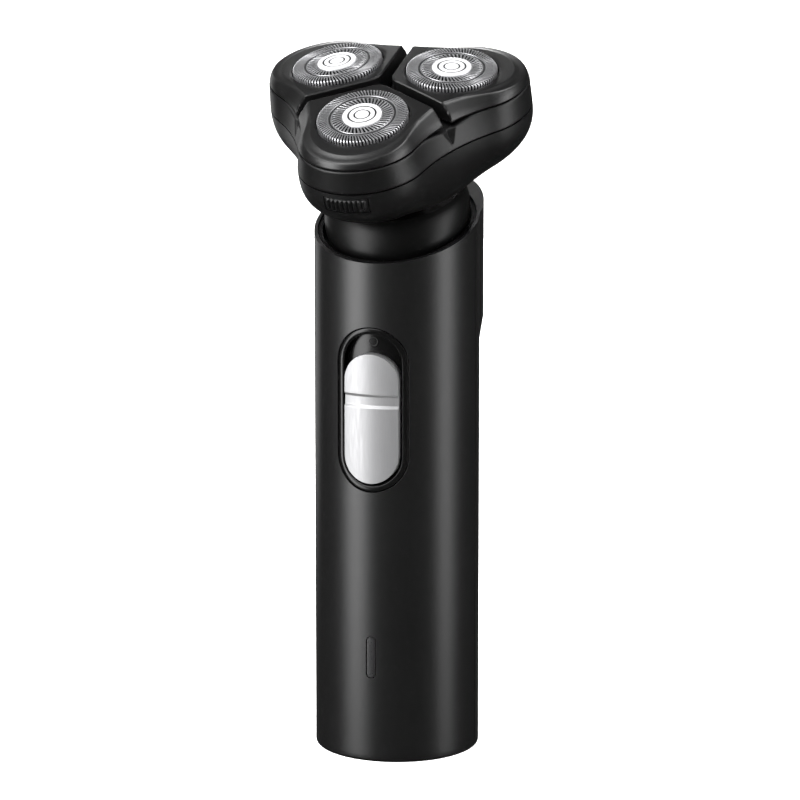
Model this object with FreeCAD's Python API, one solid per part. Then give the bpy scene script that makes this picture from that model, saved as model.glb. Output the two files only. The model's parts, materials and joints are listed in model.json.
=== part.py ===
import FreeCAD, Part
import math
import os

# Rotary electric shaver: an upright cylindrical handle with a floating three-cutter head.
# Millimetres. +Z up, the front (switch side) faces -Y, the origin is the centre of the base.
# The head is modelled upright about its own axis and then leaned forward: in its frame the
# cutting plane is at height 0 and every other height is negative.

V = FreeCAD.Vector
UP = V(0, 0, 1)

# ---- driving dimensions: handle -------------------------------------------------------------
BODY_R = 20.0
WALL = 1.8
SEAM_HALF_GAP = 0.05
RIM_Z = 130.4            # height of the slanted rim on the body axis
RIM_SLOPE = 0.36         # rise of the rim per millimetre towards the back
FOOT_ROUND = 0.8
RIM_ROUND = 0.35

COLLAR_OUT_R = 19.15
COLLAR_IN_R = 17.9
COLLAR_DEPTH = 7.5
COLLAR_SINK = 0.35

BULGE_R = 19.25          # plan radius of the trimmer housing on the back
BULGE_Y = 5.5
BULGE_END_Y = 0.7
BULGE_FULL_Z = 106.0
BULGE_END_Z = 98.0

SWITCH_LOW_Z = 67.2
SWITCH_HIGH_Z = 107.7
SWITCH_HALF_W = 9.1
BEZEL_W = 1.8
TRAY_DEPTH = 2.4
BUTTON_CLEAR = 0.35
BUTTON_HIGH_Z = 101.2
BUTTON_PROUD = 0.5
GRIP_Z = 89.7            # height of the finger groove across the button

LED_LOW_Z = 21.0
LED_HIGH_Z = 31.5
LED_HALF_W = 1.25

CAP_THICK = 2.2
INLET_Y = 9.0
INLET_W = 9.0
INLET_H = 3.2

BATTERY_R = 9.1
BATTERY_Y = 2.0
BATTERY_LOW_Z = 12.0
BATTERY_HIGH_Z = 77.0
MOTOR_R = 10.0
MOTOR_LOW_Z = 84.0
MOTOR_HIGH_Z = 114.0
RAIL_X = 13.2
BOARD_Y = -12.6
BOARD_THICK = 1.2

TRIM_HALF_W = 7.5
TRIM_LOW_Z = 102.6
TRIM_FLOOR_Y = 19.4
TRIM_CLEAR = 0.2

# Neck dome: height of each leaning circle on the body axis, and its radius.
DOME_PROFILE = ((127.25, 16.0), (129.0, 16.95), (131.0, 17.5), (133.2, 17.6), (135.4, 17.25), (137.2, 16.4))
DOME_WALL = 1.2

# ---- driving dimensions: head ---------------------------------------------------------------
HEAD_TILT = 20.4
HEAD_Y = -10.0
HEAD_Z = 165.4
CUTTER_RC = 16.7         # distance of each cutter centre from the head axis
CUTTER_DISH = 5.5        # outward lean of each cutter
PLATE_SEAM = -4.9
BAND_TOP = -5.1
BAND_LOW = -10.95
BOWL_TOP = -11.25
BOWL_LOW = -27.2
HEAD_WALL = 1.5
UPPER_RIM = (20.2, 14.75, 21.8)     # lobe centre, lobe radius, waist radius
LOWER_RIM = (19.05, 15.95, 23.05)
BOWL_FOOT_R = 15.04
PIVOT_H = -32.0

PLATE_GROOVE = 1.35      # half width of the Y-shaped gap between the plates
PLATE_TOP = -0.9
PLATE_CORNER_R = 4.0
PLATE_SIDE = ((PLATE_SEAM, 0.0), (-2.0, 1.6), (0.2, 3.4), (2.0, 4.2))    # height, inset of the rim

FOIL_R = 11.2
FOIL_CAP_R = 4.7
FOIL_FLANGE_R = 12.1
FOIL_LOW = -3.2
RETAINER_TOP = -4.9
RETAINER_LOW = -5.7

SUN_TEETH = 24
PLANET_TEETH = 18
GEAR_RC = 16.15
GEAR_LOW = -21.5
GEAR_HIGH = -18.7
SPINDLE_R = 1.8
SPINDLE_TOP = -5.1
SPINDLE_TIP = 3.7          # length of the flat tip above the round post
TIP_LONG = 4.4
TIP_WIDE = 2.0
SOCKET_LONG = 5.6
SOCKET_WIDE = 3.2

HINGE_Y = 26.6
HINGE_H = -11.2
LUG_R = 1.6
PIN_R = 0.8
RUN = 0.05               # radial clearance of every running fit

BUTTON_HALF = 5.4
BUTTON_TOP = -12.4
BUTTON_LOW = -16.2

os.makedirs("parts", exist_ok=True)

MODULE = 2.0 * GEAR_RC / (SUN_TEETH + PLANET_TEETH)
TILT_SIN = math.sin(math.radians(HEAD_TILT))
TILT_COS = math.cos(math.radians(HEAD_TILT))
PIVOT = V(0, HEAD_Y - PIVOT_H * TILT_SIN, HEAD_Z + PIVOT_H * TILT_COS)
HEAD_FRAME = FreeCAD.Placement(V(0, HEAD_Y, HEAD_Z), FreeCAD.Rotation(V(1, 0, 0), HEAD_TILT))


# ---- helpers --------------------------------------------------------------------------------
def cyl(radius, low, high, x=0.0, y=0.0):
    return Part.makeCylinder(radius, high - low, V(x, y, low))


def tube(outer, inner, low, high, x=0.0, y=0.0):
    return cyl(outer, low, high, x, y).cut(cyl(inner, low - 1, high + 1, x, y))


def box(x0, x1, y0, y1, z0, z1):
    return Part.makeBox(x1 - x0, y1 - y0, z1 - z0, V(x0, y0, z0))


def rod(radius, start, end):
    along = end.sub(start)
    return Part.makeCylinder(radius, along.Length, start, along)


def join(shapes):
    result = shapes[0].multiFuse(shapes[1:]) if len(shapes) > 1 else shapes[0]
    return result.removeSplitter()


def pill(half_w, low, high, y0, y1):
    """A plate standing in the XZ plane with round ends."""
    bar = box(-half_w, half_w, y0, y1, low + half_w, high - half_w)
    ends = [rod(half_w, V(0, y0, z), V(0, y1, z)) for z in (low + half_w, high - half_w)]
    return join([bar] + ends)


def half_space(centre_z, slope, above):
    """A large block above or below the plane z = centre_z + slope * y."""
    angle = math.degrees(math.atan(slope))
    block = Part.makeBox(120, 400, 200, V(-60, -200, 0 if above else -200))
    block.rotate(V(0, 0, 0), V(1, 0, 0), angle)
    block.translate(V(0, 0, centre_z))
    return block


def slab(low_z, high_z, slope):
    return half_space(low_z, slope, True).common(half_space(high_z, slope, False))


def coil(radius, wire_r, pitch, height, base, axis=UP):
    helix = Part.makeHelix(pitch, height, radius)
    start = V(radius, 0, 0)
    section = Part.Wire(Part.makeCircle(wire_r, start, V(0, 1, 0)))
    spring = Part.Wire(helix).makePipeShell([section], True, True)
    spring.Placement = FreeCAD.Placement(base, FreeCAD.Rotation(UP, axis))
    return spring


def in_head(shape):
    placed = shape.copy()
    placed.Placement = HEAD_FRAME.multiply(placed.Placement)
    return placed


def lobe_angle(index):
    """Direction of a lobe about the head axis, from the front towards +X."""
    return math.radians(120.0 * index)


def on_head(radius, angle, height=0.0):
    return V(radius * math.sin(angle), -radius * math.cos(angle), height)


def cutter_frame(index):
    """Frame of a cutter in the head: +Z is the cutter's axis, leaning outward."""
    turn = FreeCAD.Rotation(UP, 120.0 * index)
    lean = FreeCAD.Rotation(V(1, 0, 0), CUTTER_DISH)
    return FreeCAD.Placement(on_head(CUTTER_RC, lobe_angle(index)), turn.multiply(lean))


def in_cutter(shape, index):
    placed = shape.copy()
    placed.Placement = cutter_frame(index).multiply(placed.Placement)
    return placed


def save(name, shape):
    if not shape.isValid():
        print("invalid shape:", name)
    print(f"{name:20s} {len(shape.Solids):2d} solids {shape.Volume:10.1f} mm3")
    shape.exportStep(f"parts/{name}.step")


# ---- the head's three-lobed outline ---------------------------------------------------------
def unit(vector):
    return V(vector).multiply(1.0 / vector.Length)


def outline(lobe_c, lobe_r, waist, height):
    """Closed wire of three lobe arcs joined by three waist arcs, all tangent."""
    spare = lobe_r ** 2 - waist ** 2 - lobe_c ** 2 + waist * lobe_c
    arc_r = spare / (2 * waist - lobe_c - 2 * lobe_r)
    side = 1.0 if arc_r > 0 else -1.0
    edges = []
    for index in range(3):
        here = lobe_angle(index)
        lobe = on_head(lobe_c, here, height)
        following = on_head(lobe_c, here + math.radians(120), height)
        behind = on_head(waist + arc_r, here - math.radians(60), height)
        ahead = on_head(waist + arc_r, here + math.radians(60), height)
        start = lobe.add(unit(behind.sub(lobe)).multiply(side * lobe_r))
        end = lobe.add(unit(ahead.sub(lobe)).multiply(side * lobe_r))
        onward = following.add(unit(ahead.sub(following)).multiply(side * lobe_r))
        tip = on_head(lobe_c + lobe_r, here, height)
        dip = on_head(waist, here + math.radians(60), height)
        edges.append(Part.Arc(start, tip, end).toShape())
        edges.append(Part.Arc(end, dip, onward).toShape())
    return Part.Wire(edges)


def inset(rim, amount):
    return rim[0], rim[1] - amount, rim[2] - amount


def band(rim_high, high, rim_low, low):
    """Solid between two outlines."""
    return Part.makeLoft([outline(*rim_high, high), outline(*rim_low, low)], True, True)


def ease(t, power, root):
    return (1.0 - t ** power) ** root


def bowl_section(t):
    """Outline and height of the bowl, t = 0 at its rim and 1 at its foot."""
    lobe_c = LOWER_RIM[0] * ease(t, 2.62, 0.43)
    reach = BOWL_FOOT_R + (LOWER_RIM[0] + LOWER_RIM[1] - BOWL_FOOT_R) * ease(t, 2.75, 0.86)
    waist = BOWL_FOOT_R + (LOWER_RIM[2] - BOWL_FOOT_R) * ease(t, 1.73, 0.43)
    return (lobe_c, reach - lobe_c, waist), BOWL_TOP + (BOWL_LOW - BOWL_TOP) * t


def bowl_solid(offset, stops):
    wires = []
    for t in stops:
        rim, height = bowl_section(t)
        wires.append(outline(*inset(rim, -offset), height))
    return Part.makeLoft(wires, True, False)


# ---- handle ---------------------------------------------------------------------------------
def bulge():
    """Trimmer housing: an offset cylinder that fades into the body at its lower end."""
    tall = cyl(BULGE_R, BULGE_FULL_Z, 150, 0, BULGE_Y)
    low = Part.Wire(Part.makeCircle(BULGE_R, V(0, BULGE_END_Y, BULGE_END_Z)))
    high = Part.Wire(Part.makeCircle(BULGE_R, V(0, BULGE_Y, BULGE_FULL_Z)))
    taper = Part.makeLoft([low, high], True, True)
    return join([tall, taper]).common(box(-30, 30, 0, 40, 90, 160))


def body_outer():
    column = cyl(BODY_R, 0, 150)
    foot = [edge for edge in column.Edges if edge.BoundBox.ZMax < 0.1]
    column = column.makeFillet(FOOT_ROUND, foot)
    whole = column.fuse(bulge())
    return whole.common(half_space(RIM_Z, RIM_SLOPE, False))


def body_shell():
    inner = cyl(BODY_R - WALL, -1, 160)
    counterbore = cyl(COLLAR_OUT_R, 60, 160).common(half_space(RIM_Z - COLLAR_DEPTH, RIM_SLOPE, True))
    return body_outer().cut(inner).cut(counterbore)


def front_shell(shell):
    front = shell.common(box(-30, 30, -30, -SEAM_HALF_GAP, -1, 160))
    opening = pill(SWITCH_HALF_W, SWITCH_LOW_Z, SWITCH_HIGH_Z, -30, -10)
    led = pill(LED_HALF_W, LED_LOW_Z, LED_HIGH_Z, -30, -10)
    return front.cut(opening).cut(led)


def trimmer_pocket():
    well = box(-TRIM_HALF_W - TRIM_CLEAR, TRIM_HALF_W + TRIM_CLEAR, TRIM_FLOOR_Y, 40, TRIM_LOW_Z, 160)
    rails = box(-TRIM_HALF_W - 1.4, TRIM_HALF_W + 1.4, 20.2, 21.4, TRIM_LOW_Z, 160)
    return join([well, rails])


def rear_shell(shell):
    rear = shell.common(box(-30, 30, SEAM_HALF_GAP, 30, -1, 160))
    return rear.cut(trimmer_pocket())


def top_collar():
    ring = tube(COLLAR_OUT_R - 0.05, COLLAR_IN_R, 80, 160)
    return ring.common(slab(RIM_Z - COLLAR_DEPTH, RIM_Z - COLLAR_SINK, RIM_SLOPE))


def base_cap():
    disc = cyl(BODY_R - WALL - 0.05, 0, CAP_THICK)
    inlet = inlet_block(0.1, -1, CAP_THICK + 1)
    screws = [cyl(1.2, -1, 5, x, -8) for x in (-9, 9)]
    return disc.cut(inlet).cut(join(screws))


def inlet_block(grow, low, high):
    half_h = INLET_H / 2 + grow
    half_w = INLET_W / 2 + grow
    flat = box(-half_w + half_h, half_w - half_h, INLET_Y - half_h, INLET_Y + half_h, low, high)
    ends = [cyl(half_h, low, high, x, INLET_Y) for x in (half_h - half_w, half_w - half_h)]
    return join([flat] + ends)


def charge_inlet():
    shell = inlet_block(0, 0.3, 7.5).cut(inlet_block(-0.35, -1, 6.7))
    tongue = box(-3.0, 3.0, INLET_Y - 0.35, INLET_Y + 0.35, 1.4, 6.8)
    return join([shell, tongue])


def base_screws():
    screws = []
    for x in (-9, 9):
        shank = cyl(1.1, 0.9, 5.8, x, -8)
        head = cyl(1.15, 0.35, 1.0, x, -8)
        slot = box(x - 1.5, x + 1.5, -8.25, -7.75, 0, 0.7)
        screws.append(join([shank, head]).cut(slot))
    return Part.makeCompound(screws)


def switch_bezel():
    ring = pill(SWITCH_HALF_W - 0.08, SWITCH_LOW_Z + 0.08, SWITCH_HIGH_Z - 0.08, -30, -10)
    hole = pill(SWITCH_HALF_W - BEZEL_W, SWITCH_LOW_Z + BEZEL_W, SWITCH_HIGH_Z - BEZEL_W, -30, -10)
    wall = tube(BODY_R - 0.1, BODY_R - TRAY_DEPTH, 60, 120)
    return wall.common(ring.cut(hole))


def switch_tray():
    plate = pill(SWITCH_HALF_W - 0.08, SWITCH_LOW_Z + 0.08, SWITCH_HIGH_Z - 0.08, -30, -10)
    wall = tube(BODY_R - TRAY_DEPTH, BODY_R - TRAY_DEPTH - 1.0, 60, 120)
    slot = box(-1.9, 1.9, -30, -10, 82.6, 91.6)
    return wall.common(plate).cut(slot)


def switch_button():
    half_w = SWITCH_HALF_W - BEZEL_W - BUTTON_CLEAR
    low = SWITCH_LOW_Z + BEZEL_W + BUTTON_CLEAR
    face = pill(half_w, low, BUTTON_HIGH_Z, -30, -10)
    wall = tube(BODY_R + BUTTON_PROUD, BODY_R - TRAY_DEPTH + 0.15, 60, 120)
    stem = box(-1.5, 1.5, -BODY_R + 1.0, -14.6, 83.0, 86.8)
    grip_y = -BODY_R - BUTTON_PROUD - 0.35
    grip = rod(0.7, V(-half_w, grip_y, GRIP_Z), V(half_w, grip_y, GRIP_Z))
    return join([wall.common(face), stem]).cut(grip)


def slide_switch():
    return box(-3.2, 3.2, -14.4, BOARD_Y, 80.5, 95.5)


def led_window():
    plate = pill(LED_HALF_W - 0.06, LED_LOW_Z + 0.06, LED_HIGH_Z - 0.06, -30, -10)
    return tube(BODY_R - 0.08, BODY_R - WALL, 15, 40).common(plate)


def indicator_led():
    return box(-1.0, 1.0, -14.0, BOARD_Y, 24.6, 27.8)


def circuit_board():
    board = box(-9.0, 9.0, BOARD_Y, BOARD_Y + BOARD_THICK, 12.0, 111.0)
    holes = [rod(1.1, V(x, -20, z), V(x, 0, z)) for x in (-7, 7) for z in (15, 108)]
    return board.cut(join(holes))


def inner_chassis():
    rails = [box(x, x + 2.0, -3.0, 6.0, 6.0, 116.5) for x in (-RAIL_X - 2.0, RAIL_X)]
    disc_r = BODY_R - WALL - 0.4
    low_disc = cyl(disc_r, 9.0, 11.5).cut(box(-10, 10, -25, BOARD_Y + BOARD_THICK + 0.3, 0, 20))
    mid_disc = cyl(disc_r, 78.6, 81.0).cut(box(-10, 10, -25, BOARD_Y + BOARD_THICK + 0.3, 70, 90))
    top_disc = cyl(disc_r, 114.2, 116.6).cut(cyl(3.4, 110, 120, 0, PIVOT.y))
    posts = [cyl(2.4, CAP_THICK + 0.05, 9.5, x, -8).cut(cyl(1.12, 0, 20, x, -8)) for x in (-9, 9)]
    return join(rails + [low_disc, mid_disc, top_disc] + posts)


def battery_cell():
    can = cyl(BATTERY_R, BATTERY_LOW_Z, BATTERY_HIGH_Z - 1.2, 0, BATTERY_Y)
    rims = [edge for edge in can.Edges if edge.BoundBox.ZLength < 0.01]
    can = can.makeFillet(0.8, rims)
    return can.fuse(cyl(3.0, BATTERY_HIGH_Z - 1.4, BATTERY_HIGH_Z, 0, BATTERY_Y))


def battery_tabs():
    low = box(-3, 3, BATTERY_Y - 3, BATTERY_Y + 3, BATTERY_LOW_Z - 0.3, BATTERY_LOW_Z)
    high = box(-3, 3, BATTERY_Y - 3, BATTERY_Y + 3, BATTERY_HIGH_Z, BATTERY_HIGH_Z + 0.3)
    return Part.makeCompound([low, high])


def motor_can():
    can = cyl(MOTOR_R, MOTOR_LOW_Z + 2.5, MOTOR_HIGH_Z, 0, PIVOT.y)
    boss = cyl(3.0, MOTOR_HIGH_Z - 0.5, MOTOR_HIGH_Z + 3.0, 0, PIVOT.y)
    return join([can, boss]).cut(cyl(1.0 + RUN, MOTOR_LOW_Z + 10, 130, 0, PIVOT.y))


def motor_end_bell():
    bell = cyl(MOTOR_R - 0.6, MOTOR_LOW_Z, MOTOR_LOW_Z + 2.5, 0, PIVOT.y)
    tabs = []
    for x in (-6, 4.4):
        tabs.append(box(x, x + 1.6, PIVOT.y - 0.3, PIVOT.y + 0.3, MOTOR_LOW_Z - 2.5, MOTOR_LOW_Z + 1))
    return join([bell] + tabs)


def motor_shaft():
    shaft = cyl(1.0, MOTOR_LOW_Z + 10.5, 129.5, 0, PIVOT.y)
    neck = cyl(0.8, 129.0, PIVOT.z - 1.0, 0, PIVOT.y)
    ball = Part.makeSphere(1.9, PIVOT)
    bore = rod(0.5, PIVOT.sub(V(3, 0, 0)), PIVOT.add(V(3, 0, 0)))
    return join([shaft, neck, ball]).cut(bore)


def drive_pin():
    return rod(0.5, PIVOT.sub(V(3.3, 0, 0)), PIVOT.add(V(3.3, 0, 0)))


def tilted_slab(low_z, high_z):
    return slab(low_z, high_z, math.tan(math.radians(HEAD_TILT)))


def neck_base():
    disc = cyl(COLLAR_IN_R - 0.05, 90, 150).common(tilted_slab(125.2, 127.2))
    disc = disc.cut(cyl(2.6, 90, 150, 0, PIVOT.y))
    posts = []
    for side in (-1, 1):
        x0, x1 = sorted((side * 9.4, side * 11.4))
        post = box(x0, x1, PIVOT.y - 2.3, PIVOT.y + 2.3, 125.6, PIVOT.z)
        eye = rod(2.0, V(x0, PIVOT.y, PIVOT.z), V(x1, PIVOT.y, PIVOT.z))
        posts += [post, eye]
    bore = rod(PIN_R, V(-20, PIVOT.y, PIVOT.z), V(20, PIVOT.y, PIVOT.z))
    return join([disc] + posts).cut(bore)


def tilted_circle(radius, centre_z):
    circle = Part.makeCircle(radius, V(0, 0, centre_z), V(0, -TILT_SIN, TILT_COS))
    return Part.Wire(circle)


def neck_dome():
    """Rounded skirt under the head, rising out of the collar; hollow, with a hole for the stem."""
    outer = Part.makeLoft([tilted_circle(r, z) for z, r in DOME_PROFILE], True, False)
    inner = Part.makeLoft([tilted_circle(r - DOME_WALL, z) for z, r in DOME_PROFILE], True, False)
    high_z, high_r = DOME_PROFILE[-1]
    crown_wires = [tilted_circle(high_r, high_z), tilted_circle(high_r - 0.8, high_z + 0.8)]
    crown = Part.makeLoft(crown_wires, True, False)
    stem_hole = in_head(cyl(7.4, -35, -20))
    return join([outer.cut(inner), crown]).cut(stem_hole)


def pitch_pins():
    pins = []
    for side in (-1, 1):
        start = V(side * 7.0, PIVOT.y, PIVOT.z)
        end = V(side * 11.4, PIVOT.y, PIVOT.z)
        pins.append(rod(PIN_R, start, end))
    return Part.makeCompound(pins)


# ---- trimmer on the back --------------------------------------------------------------------
def trimmer_slider():
    room = box(-TRIM_HALF_W, TRIM_HALF_W, TRIM_FLOOR_Y + 0.25, 40, TRIM_LOW_Z + 0.3, 160)
    tongues = box(-TRIM_HALF_W - 1.15, TRIM_HALF_W + 1.15, 20.4, 21.2, TRIM_LOW_Z + 2, 132)
    cover = bulge().common(half_space(RIM_Z - 0.4, RIM_SLOPE, False)).common(join([room, tongues]))
    comb_room = box(-30, 30, 10, 22.95, 128.6, 160)
    grooves = []
    groove_y = BULGE_Y + BULGE_R + 0.15
    for step in range(6):
        z = 109 + 1.8 * step
        grooves.append(rod(0.45, V(-10, groove_y, z), V(10, groove_y, z)))
    return cover.cut(comb_room).cut(join(grooves))


def teeth(half_w, low, high, y0, y1, pitch, width):
    count = int(2 * half_w / pitch)
    first = -pitch * (count - 1) / 2 - width / 2
    row = []
    for k in range(count):
        x = first + pitch * k
        row.append(box(x, x + width, y0, y1, low, high))
    return row


def trimmer_comb():
    plate = box(-TRIM_HALF_W + 0.4, TRIM_HALF_W - 0.4, 22.25, 22.9, 128.7, 135.4)
    return join([plate] + teeth(TRIM_HALF_W - 0.5, 135.0, 137.4, 22.25, 22.9, 1.0, 0.55))


def trimmer_blade():
    plate = box(-TRIM_HALF_W + 1.2, TRIM_HALF_W - 1.2, 21.55, 22.15, 129.4, 135.2)
    return join([plate] + teeth(TRIM_HALF_W - 1.3, 135.0, 137.0, 21.55, 22.15, 1.0, 0.5))


# ---- gimbal ---------------------------------------------------------------------------------
def gimbal_ring():
    ring = tube(8.4, 6.6, PIVOT_H - 1.3, PIVOT_H + 1.3)
    pitch_bore = rod(PIN_R + RUN, V(-12, 0, PIVOT_H), V(12, 0, PIVOT_H))
    roll_bore = rod(PIN_R, V(0, -12, PIVOT_H), V(0, 12, PIVOT_H))
    return in_head(ring.cut(pitch_bore).cut(roll_bore))


def roll_pins():
    pins = [rod(PIN_R, V(0, side * 4.6, PIVOT_H), V(0, side * 8.3, PIVOT_H)) for side in (-1, 1)]
    return in_head(Part.makeCompound(pins))


# ---- head bowl and drive --------------------------------------------------------------------
OUTER_STOPS = (0, 0.15, 0.3, 0.45, 0.6, 0.72, 0.83, 0.91, 0.96)
INNER_STOPS = (0, 0.15, 0.3, 0.45, 0.6, 0.72, 0.8, 0.86)


def bowl_outer():
    return join([bowl_solid(0, OUTER_STOPS), cyl(BOWL_FOOT_R + 0.5, BOWL_LOW, BOWL_LOW + 1.4)])


def bowl_cavity():
    """Room inside the bowl: its outline moved in by the wall, up past the open rim."""
    lid = band(inset(LOWER_RIM, HEAD_WALL), BOWL_TOP + 1, inset(LOWER_RIM, HEAD_WALL), BOWL_TOP)
    return join([bowl_solid(-HEAD_WALL, INNER_STOPS), lid])


def release_room(grow):
    half_w = BUTTON_HALF + grow
    return box(-half_w, half_w, -40, -30, BUTTON_LOW - grow, BUTTON_TOP + grow)


def head_bowl(outer):
    shell = outer.cut(bowl_cavity()).cut(release_room(0.15))
    stem = cyl(5.8, PIVOT_H - 1.8, BOWL_LOW + 1.5)
    ring = tube(6.4, 4.3, BOWL_LOW + 0.5, -23.4)
    lugs = []
    for side in (-1, 1):
        x0, x1 = sorted((side * 2.6, side * 4.6))
        lugs.append(rod(LUG_R, V(x0, HINGE_Y, HINGE_H), V(x1, HINGE_Y, HINGE_H)))
        lugs.append(box(x0, x1, 21.0, HINGE_Y, HINGE_H - LUG_R, HINGE_H - 0.2))
    stop = box(-3.2, 3.2, -29.2, -28.0, -25.6, -12.2).common(outer)
    supports = []
    for k in range(3):
        boss = cyl(2.2, -25.5, -18.4, *boss_place(k)).cut(cyl(0.9, -24.5, -10, *boss_place(k)))
        seat = cyl(2.6, -25.5, GEAR_LOW - 0.3, *gear_place(k)).cut(cyl(1.0 + RUN, -30, 0, *gear_place(k)))
        supports += [boss.common(outer), seat.common(outer)]
    whole = join([shell, stem, ring, stop] + lugs + supports)
    whole = whole.cut(cyl(4.3, -40, -20))
    whole = whole.cut(rod(PIN_R + RUN, V(0, -12, PIVOT_H), V(0, 12, PIVOT_H)))
    return whole.cut(rod(PIN_R, V(-9, HINGE_Y, HINGE_H), V(9, HINGE_Y, HINGE_H)))


def gear_place(index):
    spot = on_head(GEAR_RC, lobe_angle(index))
    return spot.x, spot.y


def boss_place(index):
    spot = on_head(15.2, lobe_angle(index) + math.radians(60))
    return spot.x, spot.y


def gear_cover():
    """Plate over the gears, with an opening for each spindle."""
    rim = tuple(inset(bowl_section(0.4)[0], HEAD_WALL + 0.5))
    plate = band(rim, GEAR_HIGH + 1.7, rim, GEAR_HIGH + 0.5)
    holes = [cyl(SPINDLE_R + 0.4, -30, 0, *gear_place(k)) for k in range(3)]
    screw_holes = [cyl(1.0, -30, 0, *boss_place(k)) for k in range(3)]
    return plate.cut(join(holes + screw_holes + [cyl(2.2, -30, 0)])).cut(box(-4, 4, -40, -27.5, -30, 0))


def gear_cover_screws():
    screws = []
    for k in range(3):
        x, y = boss_place(k)
        shank = cyl(0.85, -22.5, GEAR_HIGH + 1.8, x, y)
        head = cyl(1.8, GEAR_HIGH + 1.7, GEAR_HIGH + 2.6, x, y)
        screws.append(join([shank, head]))
    return Part.makeCompound(screws)


def head_bearing():
    return tube(4.25, 1.5 + RUN, -27.6, -23.6)


def head_drive_shaft():
    """Socket around the ball of the motor shaft, with two slots for its cross pin."""
    cup = cyl(3.6, PIVOT_H - 2.3, PIVOT_H + 3.6)
    hollow = cyl(2.35, PIVOT_H - 3, PIVOT_H + 2.5)
    slots = box(-4, 4, -0.75, 0.75, PIVOT_H - 3, PIVOT_H + 2.4)
    shaft = cyl(1.5, PIVOT_H + 3, GEAR_HIGH + 1.2)
    return join([cup.cut(hollow).cut(slots), shaft])


def gear(teeth_count, low, high, bore, phase):
    """Spur gear with straight-flanked teeth and running backlash."""
    pitch_r = MODULE * teeth_count / 2
    root_r = pitch_r - 0.95 * MODULE
    tip_r = pitch_r + 0.7 * MODULE
    half_root = 0.33 * math.pi * MODULE
    half_tip = 0.13 * math.pi * MODULE
    blank = cyl(root_r, low, high)
    flank = ((root_r - 0.4, half_root), (tip_r, half_tip))
    right = [V(x, -y, low) for x, y in flank]
    left = [V(x, y, low) for x, y in reversed(flank)]
    tooth = Part.makePolygon(right + left + right[:1])
    solid = Part.Face(tooth).extrude(V(0, 0, high - low))
    ring = []
    for k in range(teeth_count):
        copy = solid.copy()
        copy.rotate(V(0, 0, 0), UP, phase + 360.0 * k / teeth_count)
        ring.append(copy)
    return join([blank] + ring).cut(cyl(bore, low - 1, high + 1))


def sun_gear():
    """A tooth points at each planet, starting from the front."""
    return gear(SUN_TEETH, GEAR_LOW, GEAR_HIGH, 1.5, -90.0)


def drive_gear(index):
    """The planet shows a gap to the sun gear; its hub turns on a short axle."""
    planet = gear(PLANET_TEETH, GEAR_LOW, GEAR_HIGH, 1.0, 90.0 + 180.0 / PLANET_TEETH)
    axle = cyl(1.0, -24.8, GEAR_HIGH)
    planet = join([planet, axle])
    planet.rotate(V(0, 0, 0), UP, 120.0 * index)
    planet.translate(on_head(GEAR_RC, lobe_angle(index)))
    return planet


def drive_spindle(index):
    """Post that carries the drive up into the cutter; the flat tip lies along the head's Y axis."""
    x, y = gear_place(index)
    shoulder = SPINDLE_TOP - SPINDLE_TIP
    post = cyl(SPINDLE_R, GEAR_HIGH, shoulder, x, y)
    half_w, half_l = TIP_WIDE / 2, TIP_LONG / 2
    tip = box(x - half_w, x + half_w, y - half_l, y + half_l, shoulder - 0.8, SPINDLE_TOP)
    tip = tip.common(cyl(half_l, shoulder - 1, SPINDLE_TOP + 1, x, y))
    return join([post, tip])


def release_button(outer_proud):
    room = release_room(0)
    face = bowl_solid(0.1, OUTER_STOPS).common(room)
    wide = release_room(0.9)
    plate = bowl_solid(-HEAD_WALL - 0.25, INNER_STOPS).common(wide)
    cut_back = box(-20, 20, -31.6, 0, -40, 0)
    ribs = []
    for k in range(9):
        x = (k - 4) * 1.12
        ribs.append(box(x - 0.28, x + 0.28, -40, -33.5, BUTTON_LOW + 0.25, BUTTON_TOP - 0.25))
    ribs = [rib.common(outer_proud) for rib in ribs]
    hollow = bowl_solid(-HEAD_WALL - 1.1, INNER_STOPS)
    return join([face.cut(cut_back).cut(hollow), plate.cut(hollow).cut(cut_back)] + ribs)


def button_spring():
    return coil(1.3, 0.2, 0.8, 1.9, V(0, -31.4, -15.0), V(0, 1, 0))


def cover_hinge_pin():
    return rod(PIN_R, V(-4.6, HINGE_Y, HINGE_H), V(4.6, HINGE_Y, HINGE_H))


# ---- cover with the cutters -----------------------------------------------------------------
def cover_frame():
    outer = band(UPPER_RIM, BAND_TOP, LOWER_RIM, BAND_LOW)
    inner = band(inset(UPPER_RIM, HEAD_WALL), BAND_TOP - 1.3, inset(LOWER_RIM, HEAD_WALL), BAND_LOW - 0.1)
    holes = [cyl(12.9, -20, 5, *on_head(CUTTER_RC, lobe_angle(k))[:2]) for k in range(3)]
    frame = outer.cut(inner).cut(join(holes))
    knuckle = rod(LUG_R, V(-2.35, HINGE_Y, HINGE_H), V(2.35, HINGE_Y, HINGE_H))
    web = box(-2.35, 2.35, 21.0, HINGE_Y, HINGE_H + 0.3, HINGE_H + 4.0)
    arm = box(-2.35, 2.35, HINGE_Y - 1.6, HINGE_Y + 1.0, HINGE_H, HINGE_H + 4.0)
    frame = join([frame, knuckle, web, arm])
    return frame.cut(rod(PIN_R + RUN, V(-9, HINGE_Y, HINGE_H), V(9, HINGE_Y, HINGE_H)))


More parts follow.
